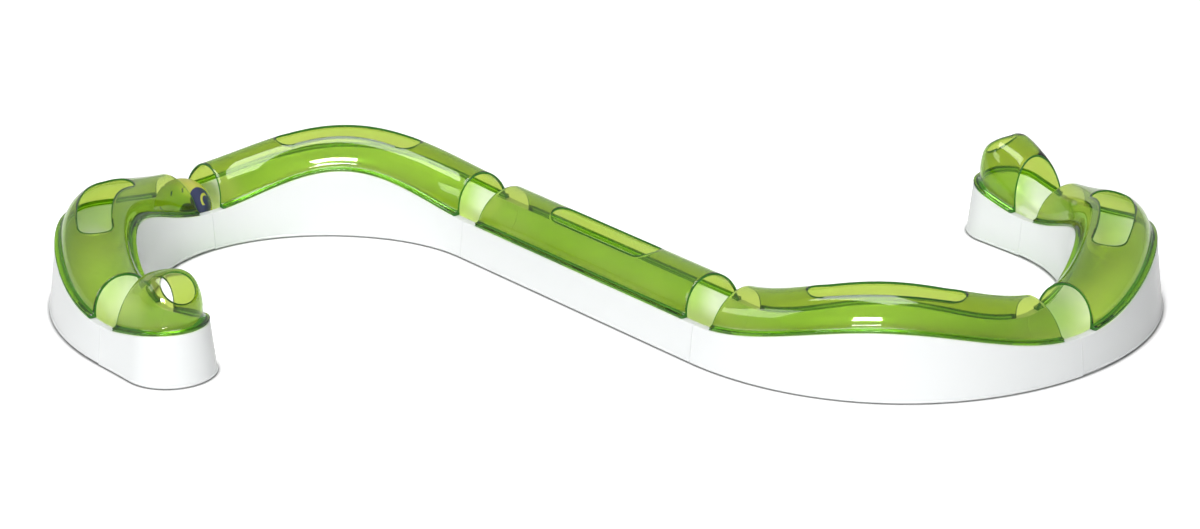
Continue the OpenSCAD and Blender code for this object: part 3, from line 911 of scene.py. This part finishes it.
# The print: round patches of ink, then thin arcs, each of a circle of so many degrees round
# an axis and kept within so many degrees of its middle. The last arc is left bare.
PATCHES = (((0.76, -0.5, 0.46), 30.0), ((0.24, -0.92, 0.24), 16.0))
ARCS = (
    ("MAXIMUM", (1.0, 0.1, 0.0), 90.0, (0.05, -0.55, 0.83), 7.0),
    ("MAXIMUM", (0.9, -0.3, 0.2), 88.0, (-0.3, -0.6, 0.74), 7.0),
    ("MAXIMUM", (0.75, 0.1, 0.6), 90.0, (-0.55, -0.7, 0.5), 8.0),
    ("MAXIMUM", (-0.3, -0.8, 0.5), 30.0, (-0.55, -0.83, 0.1), 20.0),
    ("MAXIMUM", (0.4, 0.9, 0.2), 20.0, (0.1, 0.95, 0.3), 25.0),
    ("SUBTRACT", (0.88, -0.38, 0.44), 13.0, (0.76, -0.48, 0.6), 16.0),
)
STROKE = 0.03
PRINT_BLUR = 0.006


def olive_translucent_plastic():
    """Translucent olive polyethylene, blow-moulded: light soaks in and glows, the skin is
    softly glossy, and the print is a thin dark navy ink."""
    mat = bpy.data.materials.new("olive_translucent_plastic")
    mat.use_nodes = True
    tree = mat.node_tree
    body = tree.nodes["Principled BSDF"]
    where = add(tree, "ShaderNodeTexCoord").outputs["Object"]
    local = add(tree, "ShaderNodeVectorMath", {0: where, 1: tuple(c * MM for c in BALL_AT)},
                operation="SUBTRACT").outputs[0]
    unit = add(tree, "ShaderNodeVectorMath", {0: local}, operation="NORMALIZE").outputs[0]
    ink = 0.0
    for aim, size in PATCHES:
        near = add(tree, "ShaderNodeVectorMath", {0: unit, 1: Vector(aim).normalized()},
                   operation="DOT_PRODUCT").outputs["Value"]
        edge = cos(radians(size))
        patch = add(tree, "ShaderNodeMapRange", {
            "Value": near, "From Min": edge - PRINT_BLUR, "From Max": edge + PRINT_BLUR})
        ink = add(tree, "ShaderNodeMath", {0: ink, 1: patch.outputs[0]},
                  operation="MAXIMUM").outputs[0]
    for change, axis, radius, middle, half in ARCS:
        to_axis, to_middle = [
            add(tree, "ShaderNodeVectorMath", {0: unit, 1: Vector(way).normalized()},
                operation="DOT_PRODUCT").outputs["Value"] for way in (axis, middle)]
        beside = add(tree, "ShaderNodeMath", {0: to_axis, 1: cos(radians(radius))},
                     operation="SUBTRACT").outputs[0]
        beside = add(tree, "ShaderNodeMath", {0: beside}, operation="ABSOLUTE").outputs[0]
        width, end = STROKE * sin(radians(radius)), cos(radians(half))
        line = add(tree, "ShaderNodeMapRange", {
            "Value": beside, "From Min": width, "From Max": width + PRINT_BLUR,
            "To Min": 1.0, "To Max": 0.0}).outputs[0]
        part = add(tree, "ShaderNodeMapRange", {
            "Value": to_middle, "From Min": end, "From Max": end + PRINT_BLUR}).outputs[0]
        arc_ink = add(tree, "ShaderNodeMath", {0: line, 1: part}, operation="MINIMUM").outputs[0]
        ink = add(tree, "ShaderNodeMath", {0: ink, 1: arc_ink},
                  operation=change, use_clamp=True).outputs[0]
    cloud = add(tree, "ShaderNodeTexNoise", {"Vector": where, "Scale": 60.0, "Detail": 2.0})
    skin = add(tree, "ShaderNodeMix", data_type="RGBA", values={
        "Factor": cloud.outputs[0], "A": srgb("CCD04C"), "B": srgb("DADC62")}).outputs["Result"]
    both = add(tree, "ShaderNodeMix", data_type="RGBA", values={
        "Factor": ink, "A": skin, "B": srgb("343A5E")}).outputs["Result"]
    clear = add(tree, "ShaderNodeMapRange", {
        "Value": ink, "To Min": 0.15, "To Max": 0.0}).outputs[0]
    tree.links.new(both, body.inputs["Base Color"])
    tree.links.new(clear, body.inputs["Transmission Weight"])
    body.inputs["Roughness"].default_value = 0.25
    body.inputs["IOR"].default_value = 1.5
    return mat


ball = bpy.data.objects.new("ball_shell", ball_mesh())
ball.data.materials.append(olive_translucent_plastic())
bpy.context.scene.collection.objects.link(ball)
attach(ball, "ball")
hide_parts("ball")


# The studio: a white paper floor that keeps the track's soft shadow, a white world, a box
# light in front, a wide scrim overhead that lights the dull white troughs, and a strip
# overhead and a box on the left that only draw highlights along the glossy covers.
FLOOR_HALF = 6.0
FLOOR_BELOW = 0.0001
FLOOR_LIFT = 0.58
CONTACT = 0.007
MIRRORED = 0.45


def seen_rays(tree):
    """1 for what the eye sees straight or through clear plastic, less for what it sees
    mirrored, and 0 for what lights a dull surface, even through a cover."""
    path = add(tree, "ShaderNodeLightPath").outputs
    mirrored = add(tree, "ShaderNodeMath", {0: path["Is Glossy Ray"], 1: MIRRORED},
                   operation="MULTIPLY")
    seen = path["Is Camera Ray"]
    for kind in (mirrored.outputs[0], path["Is Transmission Ray"]):
        seen = add(tree, "ShaderNodeMath", {0: seen, 1: kind}, operation="MAXIMUM").outputs[0]
    no_bounce = add(tree, "ShaderNodeMath", {0: 1.0, 1: path["Diffuse Depth"]},
                    operation="SUBTRACT").outputs[0]
    return add(tree, "ShaderNodeMath", {0: seen, 1: no_bounce},
               operation="MULTIPLY", use_clamp=True).outputs[0]


def floor_paper():
    """White paper sweep. The camera sees it lifted to white, as in the photo, but within
    7 mm of a foot, where the paper is covered, a painted contact shadow takes it down to grey."""
    mat = bpy.data.materials.new("white_paper")
    mat.use_nodes = True
    tree = mat.node_tree
    tree.nodes.remove(tree.nodes["Principled BSDF"])
    seen = seen_rays(tree)
    open_share = add(tree, "ShaderNodeAmbientOcclusion", {"Distance": CONTACT}, samples=8)
    lit = add(tree, "ShaderNodeMapRange", {
        "Value": open_share.outputs["AO"], "From Min": 0.5, "From Max": 0.9}).outputs[0]
    # Painted contact shadow: the paper's colour falls from EAEAEA to A6A6A6 near a foot, and the
    # lift fades with it
    tone = add(tree, "ShaderNodeMix", data_type="RGBA", values={
        "Factor": lit, "A": srgb("A6A6A6"), "B": srgb("EAEAEA")}).outputs["Result"]
    paper = add(tree, "ShaderNodeBsdfDiffuse", {"Color": tone})
    lift = add(tree, "ShaderNodeMath", {0: lit, 1: FLOOR_LIFT}, operation="MULTIPLY").outputs[0]
    shown = add(tree, "ShaderNodeMath", {0: seen, 1: lift}, operation="MULTIPLY").outputs[0]
    glow = add(tree, "ShaderNodeEmission", {"Strength": shown})
    both = add(tree, "ShaderNodeAddShader", {0: paper.outputs[0], 1: glow.outputs[0]})
    tree.links.new(both.outputs[0], tree.nodes["Material Output"].inputs["Surface"])
    return mat


bm = bmesh.new()
bmesh.ops.create_grid(bm, x_segments=1, y_segments=1, size=FLOOR_HALF)
floor_data = bpy.data.meshes.new("floor")
bm.to_mesh(floor_data)
bm.free()
floor_data.transform(Matrix.Translation((0, 0, -FLOOR_BELOW)))
floor = bpy.data.objects.new("floor", floor_data)
floor_data.materials.append(floor_paper())
bpy.context.scene.collection.objects.link(floor)

WORLD_LIGHT = 0.12
world = bpy.data.worlds.new("studio")
bpy.context.scene.world = world
world.use_nodes = True
sky = world.node_tree
level = add(sky, "ShaderNodeMapRange", {
    "Value": seen_rays(sky), "To Min": WORLD_LIGHT, "To Max": 1.0}).outputs[0]
sky.links.new(level, sky.nodes["Background"].inputs["Strength"])
sky.nodes["Background"].inputs["Color"].default_value = srgb("FFFFFF")

# Each lamp lights dull surfaces, draws highlights on glossy ones, or both
for name, place, aim, size, power, lights_dull, lights_gloss in (
    ("box_front", (-0.85, -3.75, 1.2), (0, 0, 0.05), (1.1, 0.75), 111, True, True),
    ("scrim_above", (-0.25, -0.1, 2.6), (0, 0, 0), (3.0, 3.0), 57, True, False),
    ("strip_above", (-0.25, -0.1, 2.6), (0, 0.1, 0), (2.6, 1.1), 60, False, True),
    ("box_left", (-2.6, -0.4, 1.8), (0, 0, 0.05), (1.5, 1.0), 16, False, True),
):
    lamp = bpy.data.lights.new(name, "AREA")
    lamp.shape = "RECTANGLE"
    lamp.size, lamp.size_y = size
    lamp.energy = power
    obj = bpy.data.objects.new(name, lamp)
    obj.location = place
    obj.rotation_euler = (Vector(place) - Vector(aim)).to_track_quat("Z", "Y").to_euler()
    obj.visible_diffuse = lights_dull
    obj.visible_glossy = lights_gloss
    bpy.context.scene.collection.objects.link(obj)

bpy.context.scene.view_settings.view_transform = "Standard"
